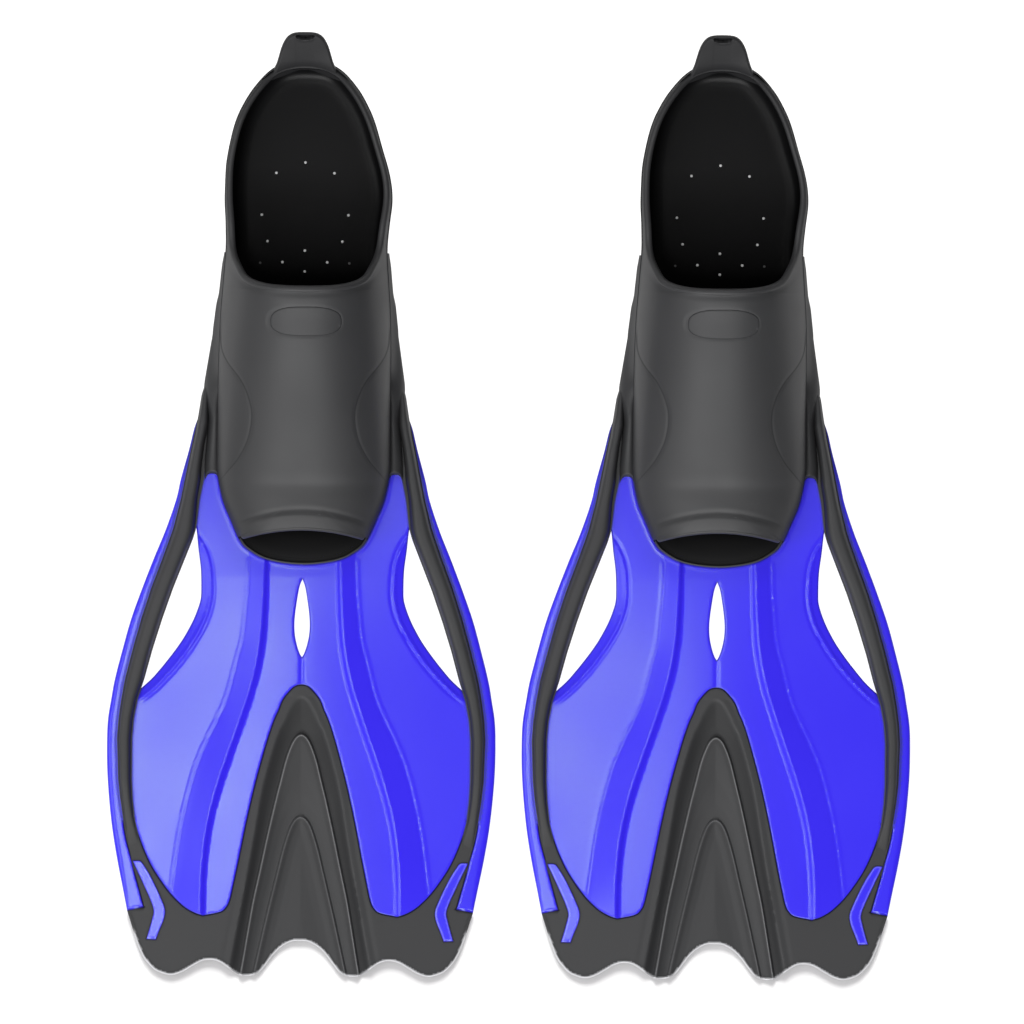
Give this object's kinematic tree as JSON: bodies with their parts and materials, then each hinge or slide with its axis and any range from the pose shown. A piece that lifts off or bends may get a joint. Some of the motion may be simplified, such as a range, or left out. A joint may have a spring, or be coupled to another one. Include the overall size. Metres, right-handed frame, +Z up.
{
  "type": "swim fins",
  "caption": "Pair of full-foot swim fins: rubber foot pockets with open toes and heel tabs, flexing plastic blades with curved windows, a centre channel and scalloped tips.",
  "frame": {"origin": "middle of the pair's bounding box, on the floor under the flat soles", "axes": "+Z up from the soles, +Y from the blade tips towards the heels, +X from the left fin to the right fin seen from above with the heels at the top"},
  "size_m": [0.449, 0.5268, 0.0835],
  "materials": {
    "black_rubber": "satin moulded rubber",
    "footbed_rubber": "matt moulded rubber",
    "blue_plastic": "glossy moulded polypropylene"
  },
  "bodies": {
    "left_pocket": {"left_foot_pocket": "black_rubber", "left_footbed": "footbed_rubber", "left_outsole": "black_rubber", "left_badge": "black_rubber", "left_blade_root": "blue_plastic"},
    "left_blade": {"left_blade_panel": "blue_plastic", "left_rail_top_l": "black_rubber", "left_rail_top_r": "black_rubber", "left_rail_bottom_l": "black_rubber", "left_rail_bottom_r": "black_rubber", "left_channel_web": "black_rubber", "left_chevron_l": "blue_plastic", "left_chevron_r": "blue_plastic"},
    "left_tab": {"left_heel_tab": "black_rubber"},
    "right_pocket": {"right_foot_pocket": "black_rubber", "right_footbed": "footbed_rubber", "right_outsole": "black_rubber", "right_badge": "black_rubber", "right_blade_root": "blue_plastic"},
    "right_blade": {"right_blade_panel": "blue_plastic", "right_rail_top_l": "black_rubber", "right_rail_top_r": "black_rubber", "right_rail_bottom_l": "black_rubber", "right_rail_bottom_r": "black_rubber", "right_channel_web": "black_rubber", "right_chevron_l": "blue_plastic", "right_chevron_r": "blue_plastic"},
    "right_tab": {"right_heel_tab": "black_rubber"}
  },
  "joints": [
    {"name": "left_blade_flex", "type": "hinge", "parent": "left_pocket", "child": "left_blade", "pos_m": [-0.1159, -0.04, 0.0093], "axis": [1, 0, 0], "range_deg": [-25, 25], "stiffness_Nm_per_rad": 12},
    {"name": "right_blade_flex", "type": "hinge", "parent": "right_pocket", "child": "right_blade", "pos_m": [0.1159, -0.04, 0.0093], "axis": [1, 0, 0], "range_deg": [-25, 25], "stiffness_Nm_per_rad": 12},
    {"name": "left_heel_tab_flex", "type": "hinge", "parent": "left_pocket", "child": "left_tab", "pos_m": [-0.1159, 0.2463, 0.0614], "axis": [1, 0, 0], "range_deg": [-36, 55], "stiffness_Nm_per_rad": 0.05},
    {"name": "right_heel_tab_flex", "type": "hinge", "parent": "right_pocket", "child": "right_tab", "pos_m": [0.1159, 0.2463, 0.0614], "axis": [1, 0, 0], "range_deg": [-36, 55], "stiffness_Nm_per_rad": 0.05},
    {"name": "pair_slide", "type": "slide", "parent": "left_pocket", "child": "right_pocket", "axis": [1, 0, 0], "range_m": [0, 0.3]}
  ]
}
